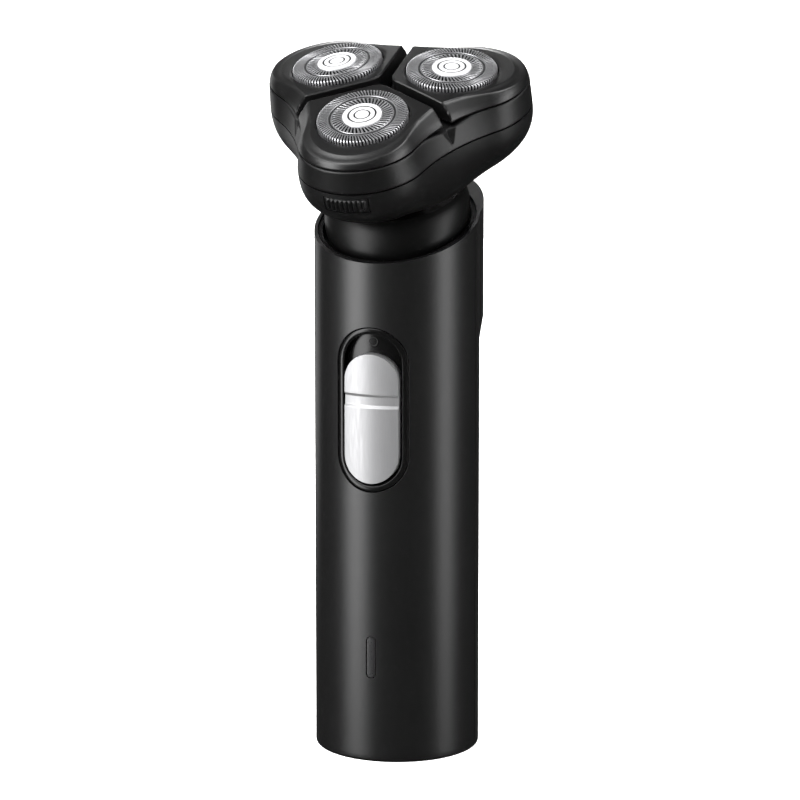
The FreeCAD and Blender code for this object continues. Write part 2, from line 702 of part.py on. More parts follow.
def plate_wedge(index):
    """One third of the head, cut back by half the groove, with its inner corner rounded."""
    tip = PLATE_GROOVE / math.sin(math.radians(60))
    far = 60.0
    start = V(0, -tip, -8)
    right = on_head(far, math.radians(60)).add(start)
    left = on_head(far, math.radians(-60)).add(start)
    outer = V(0, -far * 1.2, -8)
    wedge = Part.Face(Part.makePolygon([start, right, outer, left, start])).extrude(V(0, 0, 12))
    upright = [edge for edge in wedge.Edges if edge.BoundBox.YLength < 0.01]
    corner = [edge for edge in upright if edge.BoundBox.YMin > -tip - 0.01]
    wedge = wedge.makeFillet(PLATE_CORNER_R, corner)
    wedge.rotate(V(0, 0, 0), UP, 120.0 * index)
    return wedge


def lobe_plate(index):
    wires = [outline(*inset(UPPER_RIM, amount), height) for height, amount in PLATE_SIDE]
    sides = Part.makeLoft(wires, True, True)
    lid = in_cutter(box(-60, 60, -60, 60, PLATE_TOP, 40), index)
    hole = in_cutter(cyl(FOIL_R + 0.35, -12, 5), index)
    relief = in_cutter(cyl(FOIL_FLANGE_R + 0.35, -12, -2.35), index)
    return sides.common(plate_wedge(index)).cut(lid).cut(hole).cut(relief)


def cutter_retainer():
    """Three leaning rings under the cutters, joined by a Y-shaped web."""
    pieces = [in_cutter(tube(12.4, 10.5, RETAINER_LOW, RETAINER_TOP), k) for k in range(3)]
    arm = box(-1.5, 1.5, -9.6, 0, -8.6, -7.4)
    bar = box(-3.4, 3.4, -9.6, -7.2, -8.6, -7.4)
    feet = [box(x, x + 1.2, -9.6, -7.2, -8.6, -4.1) for x in (-3.4, 2.2)]
    spoke = join([arm, bar] + feet)
    for k in range(3):
        turned = spoke.copy()
        turned.rotate(V(0, 0, 0), UP, 180.0 + 120.0 * k)
        pieces.append(turned)
    hub = join([cyl(4.0, -8.6, -7.4), cyl(2.0, -7.5, -6.4)])
    return join(pieces + [hub])


def float_spring(index):
    return in_cutter(coil(11.45, 0.2, 0.6, 1.2, V(0, 0, RETAINER_TOP + 0.22)), index)


def outer_cutter(index):
    top = tube(FOIL_R, FOIL_CAP_R - 0.3, -0.35, 0)
    wall = tube(FOIL_R, FOIL_R - 0.35, FOIL_LOW, 0)
    flange = tube(FOIL_FLANGE_R, FOIL_R - 0.35, FOIL_LOW, FOIL_LOW + 0.6)
    groove = tube(8.2, 7.4, -0.15, 1)
    return in_cutter(join([top, wall, flange]).cut(groove), index)


def cutter_cap(index):
    cap = cyl(FOIL_CAP_R, 0, 0.45)
    rim = [edge for edge in cap.Edges if edge.BoundBox.ZMin > 0.4]
    cap = cap.makeFillet(0.3, rim)
    plug = cyl(FOIL_CAP_R - 0.35, -0.35, 0.1)
    groove = tube(3.9, 3.5, 0.25, 1)
    return in_cutter(join([cap, plug]).cut(groove), index)


def inner_cutter(index):
    hub = cyl(4.2, -6.9, -0.75)
    disc = tube(10.0, 3.5, -3.4, -2.7)
    blades = []
    for k in range(9):
        blade = box(5.0, 10.5, -0.4, 0.4, -2.9, -0.45)
        groove = box(7.25, 8.35, -1, 1, -1.2, 0)
        blade = blade.cut(groove)
        blade.rotate(V(0, 0, 0), UP, 40.0 * k)
        blades.append(blade)
    turn = -120.0 * index
    socket = box(-SOCKET_WIDE / 2, SOCKET_WIDE / 2, -SOCKET_LONG / 2, SOCKET_LONG / 2, -8, -3.7)
    socket.rotate(V(0, 0, 0), UP, turn)
    return in_cutter(join([hub, disc] + blades).cut(socket), index)


def main():
    shell = body_shell()
    save("front_shell", front_shell(shell))
    save("rear_shell", rear_shell(shell))
    handle_parts = (
        top_collar, base_cap, charge_inlet, base_screws, switch_bezel, switch_tray, switch_button,
        slide_switch, led_window, indicator_led, circuit_board, inner_chassis, battery_cell,
        battery_tabs, motor_can, motor_end_bell, motor_shaft, drive_pin, neck_base, neck_dome,
        pitch_pins, trimmer_slider, trimmer_comb, trimmer_blade, gimbal_ring, roll_pins,
    )
    for build in handle_parts:
        save(build.__name__, build())
    save("head_bowl", in_head(head_bowl(bowl_outer())))
    save("release_button", in_head(release_button(bowl_solid(0.4, OUTER_STOPS))))
    head_parts = (
        gear_cover, gear_cover_screws, head_bearing, head_drive_shaft, sun_gear, button_spring,
        cover_hinge_pin, cover_frame, cutter_retainer,
    )
    for build in head_parts:
        save(build.__name__, in_head(build()))
    repeated = (lobe_plate, outer_cutter, cutter_cap, inner_cutter, float_spring, drive_gear, drive_spindle)
    for build in repeated:
        for index in range(3):
            save(f"{build.__name__}_{index + 1}", in_head(build(index)))


main()
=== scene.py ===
import bmesh
import bpy
import json
import math
from mathutils import Matrix, Vector


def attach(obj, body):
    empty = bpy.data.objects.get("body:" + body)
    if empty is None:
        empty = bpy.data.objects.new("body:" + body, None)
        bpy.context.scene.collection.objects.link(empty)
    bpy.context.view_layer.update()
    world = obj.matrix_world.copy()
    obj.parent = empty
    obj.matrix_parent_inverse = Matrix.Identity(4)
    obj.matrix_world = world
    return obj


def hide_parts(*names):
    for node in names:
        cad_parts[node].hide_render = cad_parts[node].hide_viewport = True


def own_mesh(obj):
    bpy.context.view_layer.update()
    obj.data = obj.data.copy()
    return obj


# Rotary electric shaver, finished over its CAD frame.
# Lengths here are millimetres; MM turns them into the frame's metres. +Z up, the front faces -Y.

MM = 0.001

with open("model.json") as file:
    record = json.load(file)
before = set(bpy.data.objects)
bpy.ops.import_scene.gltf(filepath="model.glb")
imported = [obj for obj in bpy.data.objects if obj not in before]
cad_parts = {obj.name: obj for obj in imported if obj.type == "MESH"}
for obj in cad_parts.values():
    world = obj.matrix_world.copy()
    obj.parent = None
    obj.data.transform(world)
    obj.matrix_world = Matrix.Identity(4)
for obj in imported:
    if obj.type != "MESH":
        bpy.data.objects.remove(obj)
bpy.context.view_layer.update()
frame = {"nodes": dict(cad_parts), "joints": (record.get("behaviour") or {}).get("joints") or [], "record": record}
NODES = frame["nodes"]
JOINTS = {joint["name"]: joint for joint in frame["joints"]}

# ---- driving dimensions ---------------------------------------------------------------------
CAMERA_AZIMUTH = 18.6         # degrees, 0 looks along +Y
CAMERA_ELEVATION = 12.45
CAMERA_DISTANCE = 1.150       # these three are in metres
CAMERA_TARGET_UP = 0.08585
CAMERA_TARGET_SIDE = 0.000694
CAMERA_LENS = 212.97

BODY_R = 20.0
SHELL_INNER_R = 18.2
COLLAR_SEAT_R = 19.15
RIM_Z = 130.4
RIM_SLOPE = 0.36
FOOT_ROUND = 0.8

COLLAR_OUT_R = 19.1
COLLAR_IN_R = 17.9

SEAM_HALF_GAP = 0.14

SWITCH_LOW_Z = 67.2
SWITCH_HIGH_Z = 107.7
SWITCH_HALF_W = 9.1
BEZEL_W = 1.8
BUTTON_CLEAR = 0.55
BUTTON_HIGH_Z = 101.2
BUTTON_R = 20.5
GROOVE_Z = 89.7
GROOVE_HALF = 1.35
GROOVE_DEPTH = 0.55
RING_MARK_Z = 103.8

LED_LOW_Z = 21.0
LED_HIGH_Z = 31.5
LED_HALF_W = 1.25
PATCH_Z = 50.0

BAND_TOP = -5.15
BAND_LOW = -10.9
# three-lobed outlines: centre of a lobe, its radius, distance of a waist from the axis
UPPER_RIM = (20.2, 14.75, 21.8)
LOWER_RIM = (19.05, 15.95, 23.05)
WAIST_R = 22.0
HEAD_WALL = 1.5
PIVOT_H = -32.0
PLATE_TOP = -0.9
# side of a plate, from the seam up: height in the head's frame, inset from the rim
PLATE_SIDE = ((-4.88, 0.36), (-4.74, 0.22), (-4.5, 0.18), (-3.6, 0.48), (-2.8, 0.98), (-2.0, 1.62),
              (-1.4, 2.12), (-0.8, 2.62), (-0.2, 3.1), (0.2, 3.42), (1.0, 3.8))
GROOVE_GAP = 1.35
CORNER_R = 4.0

CUTTER_RC = 16.7
CUTTER_DISH = 5.5
FOIL_R = 10.9
FOIL_SHOULDER = 0.5
FOIL_THICK = 0.16
FOIL_HOLE_R = 11.25
FLANGE_R = 11.75
CHANNEL = (7.4, 8.2)
OUTER_SLOTS = 84
INNER_SLOTS = 45
SLOT_SLANT = 17.0
BAR_SHARE = 0.47
CAP_R = 4.7
CAP_TOP = 0.42
CAP_GROOVES = ((1.85, 0.24, 0.16), (3.3, 0.26, 0.16))    # middle, half width, depth

BOWL_TOP = -11.25
BOWL_LOW = -27.2
BOWL_FOOT_R = 15.04
BUTTON_HALF = 5.4
BUTTON_TOP = -12.4
BUTTON_LOW = -16.2
RIB_PITCH = 1.12
RIB_PROUD = 0.5

COIL_R = 11.45
COIL_WIRE_R = 0.2
COIL_SEAT = -4.9
COIL_RISE = 1.2

HINGE_Y = 26.6
HINGE_H = -11.2
HINGE_R = 1.55
HINGE_BORE_R = 0.85

THIRD = 2 * math.pi / 3
SIN_60 = math.sin(math.radians(60))
COS_60 = math.cos(math.radians(60))


# ---- materials ------------------------------------------------------------------------------
def new_material(name):
    material = bpy.data.materials.new(name)
    material.use_nodes = True
    tree = material.node_tree
    return material, tree, tree.nodes["Principled BSDF"]


def noise(tree, source, scale, detail=2.0):
    node = tree.nodes.new("ShaderNodeTexNoise")
    node.inputs["Scale"].default_value = scale
    node.inputs["Detail"].default_value = detail
    tree.links.new(source, node.inputs["Vector"])
    return node.outputs["Fac"]


def spread(tree, source, low, high):
    """Maps the middle of a noise to low..high."""
    node = tree.nodes.new("ShaderNodeMapRange")
    node.inputs["From Min"].default_value = 0.3
    node.inputs["From Max"].default_value = 0.7
    node.inputs["To Min"].default_value = low
    node.inputs["To Max"].default_value = high
    tree.links.new(source, node.inputs["Value"])
    return node.outputs["Result"]


def tinted(tree, source, dark, light):
    node = tree.nodes.new("ShaderNodeValToRGB")
    node.color_ramp.elements[0].position = 0.3
    node.color_ramp.elements[0].color = (*dark, 1.0)
    node.color_ramp.elements[1].position = 0.7
    node.color_ramp.elements[1].color = (*light, 1.0)
    tree.links.new(source, node.inputs["Fac"])
    return node.outputs["Color"]


def add_bump(tree, shader, height, strength, distance):
    node = tree.nodes.new("ShaderNodeBump")
    node.inputs["Strength"].default_value = strength
    node.inputs["Distance"].default_value = distance * MM
    tree.links.new(height, node.inputs["Height"])
    tree.links.new(node.outputs["Normal"], shader.inputs["Normal"])


def stretched(tree, stretch):
    """Object coordinates, in metres, drawn out along one axis for brush lines."""
    coordinates = tree.nodes.new("ShaderNodeTexCoord").outputs["Object"]
    if stretch is None:
        return coordinates
    mapping = tree.nodes.new("ShaderNodeMapping")
    mapping.inputs["Scale"].default_value = stretch
    tree.links.new(coordinates, mapping.inputs["Vector"])
    return mapping.outputs["Vector"]


def finish(name, colour, rough, vary=0.05, metal=0.0, grain=0.25, relief=0.004, tint=0.12, coat=0.0,
           specular=0.5, stretch=None):
    """Moulded or machined surface: grain and relief in mm, slow colour drift, fine change of roughness."""
    material, tree, shader = new_material(name)
    source = stretched(tree, stretch)
    dark = [c * (1 - tint) for c in colour]
    light = [min(1.0, c * (1 + tint)) for c in colour]
    drift = noise(tree, source, 55.0, 3.0)
    fine = noise(tree, source, 1.0 / (grain * MM), 2.0)
    tree.links.new(tinted(tree, drift, dark, light), shader.inputs["Base Color"])
    tree.links.new(spread(tree, fine, rough - vary, rough + vary), shader.inputs["Roughness"])
    add_bump(tree, shader, fine, 0.5, relief)
    shader.inputs["Metallic"].default_value = metal
    shader.inputs["Specular IOR Level"].default_value = specular
    shader.inputs["Coat Weight"].default_value = coat
    shader.inputs["Coat Roughness"].default_value = 0.12
    return material


def turned(name, colour, rough, pitch, relief):
    """Lathe-turned metal: fine rings about the piece's own axis."""
    material, tree, shader = new_material(name)
    source = stretched(tree, None)
    rings = tree.nodes.new("ShaderNodeTexWave")
    rings.wave_type = "RINGS"
    rings.rings_direction = "Z"
    rings.inputs["Scale"].default_value = 1.0 / (pitch * MM * 3.2)
    rings.inputs["Distortion"].default_value = 0.6
    rings.inputs["Detail"].default_value = 1.0
    tree.links.new(source, rings.inputs["Vector"])
    drift = noise(tree, source, 400.0, 3.0)
    dark = [c * 0.9 for c in colour]
    light = [min(1.0, c * 1.06) for c in colour]
    tree.links.new(tinted(tree, drift, dark, light), shader.inputs["Base Color"])
    tree.links.new(spread(tree, rings.outputs["Fac"], rough - 0.05, rough + 0.06), shader.inputs["Roughness"])
    add_bump(tree, shader, rings.outputs["Fac"], 0.35, relief)
    shader.inputs["Metallic"].default_value = 0.45
    return material


BRUSH_Z = (1.0, 1.0, 0.03)

MATERIALS = {
    "shell_black": finish("shell_black", (0.0016, 0.0016, 0.0017), 0.4, grain=0.18, relief=0.002),
    "collar_black": finish("collar_black", (0.0015, 0.0015, 0.0015), 0.24, vary=0.03, relief=0.001,
                           specular=0.25),
    "head_black": finish("head_black", (0.0016, 0.0016, 0.0017), 0.44, grain=0.18, relief=0.002,
                         specular=0.42),
    "plate_black": finish("plate_black", (0.0018, 0.0018, 0.0019), 0.38, grain=0.2, relief=0.002),
    "switch_silver": finish("switch_silver", (0.3, 0.3, 0.305), 0.48, vary=0.09, metal=0.85, grain=0.09,
                            relief=0.003, tint=0.08, stretch=BRUSH_Z),
    "cutter_steel": finish("cutter_steel", (0.35, 0.35, 0.36), 0.36, vary=0.05, metal=0.85, grain=0.12,
                           relief=0.001, tint=0.05),
    "cap_steel": turned("cap_steel", (0.62, 0.62, 0.63), 0.36, 0.12, 0.001),
    # Darker, less glossy copy of the black plastic for the neck: painted shade for the head's shadow on it.
    "neck_black_painted_shade": finish("neck_black_painted_shade", (0.001, 0.001, 0.001), 0.42, grain=0.18, relief=0.001,
                         specular=0.22),
    # Dark steel: painted shade on the inner cutters, which sit in shadow under the foils; also the dark rings of
    # caps and foils.
    "steel_shade_and_etch": finish("steel_shade_and_etch", (0.02, 0.02, 0.021), 0.45, metal=0.5, grain=0.12, relief=0.001),
    "led_smoke": finish("led_smoke", (0.004, 0.004, 0.0045), 0.3, vary=0.03, relief=0.0005, specular=0.7),
    "frame_grey": finish("frame_grey", (0.05, 0.05, 0.055), 0.48, grain=0.3),
    "gear_nylon": finish("gear_nylon", (0.80, 0.79, 0.74), 0.4, grain=0.3, tint=0.04),
    "steel_part": finish("steel_part", (0.56, 0.56, 0.57), 0.3, metal=1.0, grain=0.1, relief=0.001,
                         tint=0.06, stretch=BRUSH_Z),
    "bronze": finish("bronze", (0.55, 0.36, 0.18), 0.42, metal=1.0, grain=0.12, tint=0.1),
    "cell_wrap": finish("cell_wrap", (0.07, 0.22, 0.44), 0.22, grain=0.6, tint=0.06, coat=0.3),
    "nickel": finish("nickel", (0.66, 0.65, 0.61), 0.2, metal=1.0, grain=0.1, tint=0.05),
    "board_green": finish("board_green", (0.02, 0.16, 0.07), 0.3, grain=0.4, tint=0.15, coat=0.2),
    "led_white": finish("led_white", (0.82, 0.83, 0.81), 0.15, vary=0.02, grain=0.5, tint=0.02),
}


# The neck takes a darker black and the inner cutters take dark steel, both as painted shade.
OWN_LOOK = {"neck_dome": "neck_black_painted_shade", "neck_base": "neck_black_painted_shade"}
OWN_LOOK.update({f"inner_cutter_{k}": "steel_shade_and_etch" for k in (1, 2, 3)})


def dress_cad_nodes():
    """Every carried-over CAD node takes the finish of its record slot, or a look of its own; the darker looks of
    the neck and inner cutters are painted shade.
    """
    for part in frame["record"]["subparts"]:
        mesh = NODES[part["node"]].data
        mesh.materials.clear()
        look = OWN_LOOK.get(part["node"], part["material_slot"])
        mesh.materials.append(MATERIALS[look])


# ---- mesh helpers ---------------------------------------------------------------------------
def piece(name, skin, body, slot, stands_for=(), place=None, bevel=0.0, sharp=40.0):
    """Object from points and faces in mm that rides on a body; with no bevel, edges past sharp stay crisp."""
    points, faces = skin
    mesh = bpy.data.meshes.new(name)
    mesh.from_pydata([Vector(p) * MM for p in points], [], faces)
    shape = bmesh.new()
    shape.from_mesh(mesh)
    bmesh.ops.remove_doubles(shape, verts=shape.verts, dist=0.002 * MM)
    bmesh.ops.recalc_face_normals(shape, faces=shape.faces)
    shape.to_mesh(mesh)
    shape.free()
    mesh.shade_smooth()
    mesh.materials.append(MATERIALS[slot])
    made = bpy.data.objects.new(name, mesh)
    bpy.context.scene.collection.objects.link(made)
    if place is not None and slot == "cap_steel":
        made.matrix_world = place    # turned rings follow the piece's own axis
    elif place is not None:
        mesh.transform(place)
    if bevel:
        rounding = made.modifiers.new("rounding", "BEVEL")
        rounding.width = bevel * MM
        rounding.segments = 3
        rounding.limit_method = "ANGLE"
        rounding.angle_limit = math.radians(sharp)
        rounding.harden_normals = True
    else:
        mesh.set_sharp_from_angle(angle=math.radians(sharp))
    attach(made, body)
    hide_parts(*stands_for)
    return made


def skin_rings(rings, around=True, loop=False):
    """Quads between rings of equal length; around closes each ring, loop joins the last to the first."""
    count = len(rings[0])
    points = [point for ring in rings for point in ring]
    faces = []
    for row in range(len(rings) if loop else len(rings) - 1):
        low = row * count
        high = (row + 1) % len(rings) * count
        for k in range(count if around else count - 1):
            onward = (k + 1) % count
            faces.append((low + k, low + onward, high + onward, high + k))
    return points, faces


def merge(*skins):
    points, faces = [], []
    for some_points, some_faces in skins:
        start = len(points)
        points += list(some_points)
        faces += [tuple(start + k for k in face) for face in some_faces]
    return points, faces


def rounded(corners, steps=4):
    """Closed profile of (x, y, radius) corners with each corner turned into an arc."""
    line = []
    for k, (x, y, radius) in enumerate(corners):
        here = Vector((x, y))
        if radius == 0:
            line.append(here)
            continue
        back = (Vector(corners[k - 1][:2]) - here).normalized()
        onward = (Vector(corners[(k + 1) % len(corners)][:2]) - here).normalized()
        half = back.angle(onward) / 2
        centre = here + (back + onward).normalized() * (radius / math.sin(half))
        start = here + back * (radius / math.tan(half)) - centre
        end = here + onward * (radius / math.tan(half)) - centre
        for step in range(steps + 1):
            line.append(centre + start.lerp(end, step / steps).normalized() * radius)
    return line


def lathe(profile, count=128, slope=0.0):
    """Closed profile of (radius, height) turned about Z; slope leans each ring with y."""
    rings = []
    for k in range(count):
        angle = 2 * math.pi * k / count
        x, y = math.sin(angle), -math.cos(angle)
        rings.append([(r * x, r * y, h + slope * r * y) for r, h in profile])
    return skin_rings(rings, around=True, loop=True)


def blend(a, b, t):
    return a + (b - a) * t


def smooth(t):
    t = min(1.0, max(0.0, t))
    return t * t * (3 - 2 * t)


# ---- handle shells --------------------------------------------------------------------------
def rim_height(y):
    return RIM_Z + RIM_SLOPE * y


def quarters(straight, arc):
    """Counter-clockwise (x, z) loop from one quarter listed +X middle to top middle."""
    quarter = straight + arc
    flipped = [(-x, z) for x, z in reversed(quarter[:-1])]
    upper = quarter + flipped
    lower = [(x, -z) for x, z in reversed(upper[1:-1])]
    return upper + lower


def pill_loop(half_w, half_h, straight=16, arc=18):
    """Points round a pill about its own centre."""
    side = [(half_w, (half_h - half_w) * k / straight) for k in range(straight)]
    turn = [math.pi / 2 * k / arc for k in range(arc + 1)]
    top = [(half_w * math.cos(a), half_h - half_w + half_w * math.sin(a)) for a in turn]
    return quarters(side, top)


def frame_loop(half_w, half_h, straight=16, arc=18):
    """Points round a rectangle, matched one to one with a pill loop."""
    side = [(half_w, half_h * k / straight) for k in range(straight)]
    top = [(half_w * (1 - k / arc), half_h) for k in range(arc + 1)]
    return quarters(side, top)


def on_column(u, z, radius):
    angle = u / BODY_R
    return radius * math.sin(angle), -radius * math.cos(angle), z


def wall_patch(low, high, half_w, floor_z, ceiling_z, rows, ease):
    """Skin of the front wall from a pill-shaped hole out to its frame, as (u, z) rings."""
    mid = (low + high) / 2
    hole = pill_loop(half_w, (high - low) / 2)
    edge = frame_loop(BODY_R * math.pi / 2 - SEAM_HALF_GAP, 1.0)
    rings = []
    for row in range(rows + 1):
        t = (row / rows) ** ease
        ring = []
        for (x, z), (u, v) in zip(hole, edge):
            start_u = BODY_R * math.asin(x / BODY_R)
            top = ceiling_z if ceiling_z else rim_height(-BODY_R * math.cos(u / BODY_R))
            end_z = blend(mid, top, v) if v > 0 else blend(mid, floor_z, -v)
            ring.append((blend(start_u, u, t), blend(mid + z, end_z, t)))
        rings.append(ring)
    return rings


def inner_wall(u, z):
    """Inside of the shell at a point of its outside, with the seat of the collar."""
    top = rim_height(-BODY_R * math.cos(u / BODY_R))
    radius = COLLAR_SEAT_R if z > top - 6.5 else SHELL_INNER_R
    shift = RIM_SLOPE * (BODY_R - radius) * math.cos(u / BODY_R) * smooth((z - 110) / 8)
    return on_column(u, z + shift, radius)


def closed_shell(outer, inner, faces):
    """Solid wall from an outer skin, its inner twin and the faces they share."""
    count = len(outer)
    uses = {}
    for face in faces:
        for a, b in zip(face, face[1:] + face[:1]):
            uses.setdefault((min(a, b), max(a, b)), []).append((a, b))
    walls = []
    for pairs in uses.values():
        if len(pairs) == 1:
            a, b = pairs[0]
            walls.append((b, a, a + count, b + count))
    back = [tuple(k + count for k in reversed(face)) for face in faces]
    return list(outer) + list(inner), list(faces) + back + walls


def welded(flat_skin):
    """Joins points of a flat (u, z) skin that coincide, so that open edges are true edges."""
    points, faces = flat_skin
    place, kept, index = {}, [], []
    for point in points:
        key = tuple(round(c, 3) for c in point)
        if key not in place:
            place[key] = len(kept)
            kept.append(point)
        index.append(place[key])
    merged = []
    for face in faces:
        corners = []
        for k in face:
            if index[k] not in corners:
                corners.append(index[k])
        if len(corners) > 2:
            merged.append(tuple(corners))
    return kept, merged


def front_shell():
    switch = skin_rings(wall_patch(SWITCH_LOW_Z, SWITCH_HIGH_Z, SWITCH_HALF_W, PATCH_Z, None, 26, 1.25))
    led = skin_rings(wall_patch(LED_LOW_Z, LED_HIGH_Z, LED_HALF_W, FOOT_ROUND, PATCH_Z, 34, 1.7))
    flat, faces = welded(merge(switch, led))
    outer = [on_column(u, z, BODY_R) for u, z in flat]
    inner = [inner_wall(u, z) for u, z in flat]
    foot_u = sorted({round(u, 3) for u, z in flat if abs(z - FOOT_ROUND) < 0.001})
    rows = []
    for step in range(6):
        turn = math.pi / 2 * step / 5
        radius = BODY_R - FOOT_ROUND * (1 - math.cos(turn))
        rows.append([(u, FOOT_ROUND * (1 - math.sin(turn)), radius) for u in foot_u])
    foot, foot_faces = skin_rings(rows, around=False)
    start = len(flat)
    lookup = {(round(u, 3), round(z, 3)): k for k, (u, z) in enumerate(flat)}
    names = []
    for k, (u, z, radius) in enumerate(foot):
        if k < len(foot_u):
            names.append(lookup[(round(u, 3), round(z, 3))])
        else:
            names.append(start + k - len(foot_u))
            outer.append(on_column(u, z, radius))
            inner.append(on_column(u, z, SHELL_INNER_R))
    faces = faces + [tuple(names[k] for k in face) for face in foot_faces]
    skin = closed_shell(outer, inner, faces)
    return piece("shell_front", skin, "handle", "shell_black", ["front_shell"], bevel=0.16)


# ---- plates that follow the column ----------------------------------------------------------
def pill_plate(half_w, low, high, outer_r, inner_r, across=48, straight=16, arc=12):
    """Solid pill-shaped plate between two radii; outer_r may depend on (x, z)."""
    foot, head = low + half_w, high - half_w
    columns = []
    for k in range(across + 1):
        x = half_w * math.sin(math.pi / 2 * (2 * k / across - 1))
        rise = math.sqrt(max(0.0, half_w * half_w - x * x))
        below = [foot - rise * (1 - row / arc) for row in range(arc)]
        between = [blend(foot, head, row / straight) for row in range(straight + 1)]
        above = [head + rise * (row + 1) / arc for row in range(arc)]
        columns.append([(x, z) for z in below + between + above])
    flat, faces = welded(skin_rings(columns, around=False))
    outer = [lift(x, z, outer_r(x, z)) for x, z in flat]
    inner = [lift(x, z, inner_r) for x, z in flat]
    return closed_shell(outer, inner, faces)


def lift(x, z, radius):
    """Point in front of (x, z) on a column of that radius."""
    return x, -math.sqrt(radius * radius - x * x), z


def switch_bezel():
    high = SWITCH_HIGH_Z - SEAM_HALF_GAP
    low = SWITCH_LOW_Z + SEAM_HALF_GAP
    outside = pill_loop(SWITCH_HALF_W - SEAM_HALF_GAP, (high - low) / 2)
    inside = pill_loop(SWITCH_HALF_W - BEZEL_W, (high - low) / 2 - BEZEL_W + SEAM_HALF_GAP)
    mid = (low + high) / 2
    # share of the way in from the outside edge, and radius on the column
    crown = ((0.0, 19.35), (0.02, 19.62), (0.09, 19.8), (0.2, 19.86), (0.45, 19.88), (0.7, 19.84),
             (0.88, 19.7), (0.97, 19.5), (1.0, 19.2), (1.0, 17.7), (0.0, 17.7))
    rings = []
    for share, radius in crown:
        ring = []
        for (x0, z0), (x1, z1) in zip(outside, inside):
            ring.append(lift(blend(x0, x1, share), mid + blend(z0, z1, share), radius))
        rings.append(ring)
    skin = skin_rings(rings, loop=True)
    return piece("switch_surround", skin, "handle", "collar_black", ["switch_bezel"])


def switch_tray():
    edge = 0.2
    skin = pill_plate(SWITCH_HALF_W - edge, SWITCH_LOW_Z + edge, SWITCH_HIGH_Z - edge,
                      lambda x, z: 17.55, 16.7)
    piece("switch_recess", skin, "handle", "collar_black", ["switch_tray"], bevel=0.1)
    profile = rounded([(0.86, -0.1, 0.0), (0.86, 0.14, 0.08), (1.14, 0.14, 0.08), (1.14, -0.1, 0.0)], steps=3)
    upright = Matrix.Rotation(math.pi / 2, 4, "X")
    lean = Matrix.Translation(Vector((0, -17.5, RING_MARK_Z)) * MM) @ upright
    piece("ring_mark", lathe(profile, 64), "handle", "head_black", place=lean)


def button_radius(x, z):
    """Thumb piece: a finger channel across it."""
    edge = (abs(z - GROOVE_Z) - GROOVE_HALF) / 0.32
    channel = GROOVE_DEPTH * (1 - smooth(edge * 0.5 + 0.5))
    return BUTTON_R - channel


def switch_button():
    half_w = SWITCH_HALF_W - BEZEL_W - BUTTON_CLEAR
    low = SWITCH_LOW_Z + BEZEL_W + BUTTON_CLEAR
    skin = pill_plate(half_w, low, BUTTON_HIGH_Z, button_radius, 17.8, straight=110)
    piece("thumb_switch", skin, "switch", "switch_silver", ["switch_button"], bevel=0.3, sharp=50)


def led_window():
    edge = 0.2
    skin = pill_plate(LED_HALF_W - edge, LED_LOW_Z + edge, LED_HIGH_Z - edge, lambda x, z: 19.8, 18.3,
                      across=16)
    piece("led_lens", skin, "handle", "led_smoke", ["led_window"], bevel=0.18)


def top_collar():
    profile = rounded([(COLLAR_OUT_R, -7.4, 0.0), (COLLAR_OUT_R, -0.36, 0.12), (COLLAR_IN_R, -0.36, 0.14),
                       (COLLAR_IN_R, -7.4, 0.0)])
    profile = [(r, RIM_Z + h) for r, h in profile]
    piece("collar_ring", lathe(profile, 192, RIM_SLOPE), "handle", "collar_black", ["top_collar"])


# ---- head frame -----------------------------------------------------------------------------
def axes_matrix(origin, up):
    """Frame with Z along up and X level, at origin in metres."""
    up = Vector(up).normalized()
    side = Vector((1.0, 0.0, 0.0))
    side = (side - up * side.dot(up)).normalized()
    back = up.cross(side)
    turn = Matrix((side, back, up)).transposed().to_4x4()
    return Matrix.Translation(Vector(origin)) @ turn


HEAD_AXIS = Vector(JOINTS["shaft_spin"]["axis"]).normalized()
HEAD_ORIGIN = Vector(JOINTS["shaft_spin"]["pos_m"]) - HEAD_AXIS * PIVOT_H * MM
HEAD = axes_matrix(HEAD_ORIGIN, HEAD_AXIS)


def cutter_place(index):
    """Frame of a cutter: Z is its spin axis and -Y points away from the head's centre."""
    joint = JOINTS[f"rotor_spin_{index + 1}"]
    up = Vector(joint["axis"]).normalized()
    centre = Vector(joint["pos_m"])
    outward = centre - HEAD_ORIGIN
    back = -(outward - up * outward.dot(up)).normalized()
    side = back.cross(up)
    turn = Matrix((side, back, up)).transposed().to_4x4()
    return Matrix.Translation(centre) @ turn


def lobed_radius(rim, angle):
    """Radius of the three-lobed outline at an angle from the front lobe, in radians."""
    lobe_c, lobe_r, waist = rim
    off = abs((angle + THIRD / 2) % THIRD - THIRD / 2)
    arc_r = (lobe_r ** 2 - waist ** 2 - lobe_c ** 2 + waist * lobe_c) / (2 * waist - lobe_c - 2 * lobe_r)
    far = waist + arc_r
    knot = Vector((far * math.sin(THIRD / 2), far * math.cos(THIRD / 2) - lobe_c))
    knot = knot.normalized() * (lobe_r if arc_r > 0 else -lobe_r)
    turn = math.atan2(knot.x, lobe_c + knot.y)
    if off <= turn:
        return lobe_c * math.cos(off) + math.sqrt(max(0.0, lobe_r ** 2 - (lobe_c * math.sin(off)) ** 2))
    rest = THIRD / 2 - off
    root = math.sqrt(max(0.0, arc_r ** 2 - (far * math.sin(rest)) ** 2))
    return far * math.cos(rest) - root if arc_r > 0 else far * math.cos(rest) + root


def inset(rim, amount):
    return rim[0], rim[1] - amount, rim[2] - amount


# ---- cover: plates, deck and side band ------------------------------------------------------
PLATE_SLOPE = math.tan(math.radians(CUTTER_DISH))


def plane_height(y):
    """Height of the flat plate top above a head-frame y, for the front lobe."""
    return PLATE_TOP / math.cos(math.radians(CUTTER_DISH)) + (y + CUTTER_RC) * PLATE_SLOPE


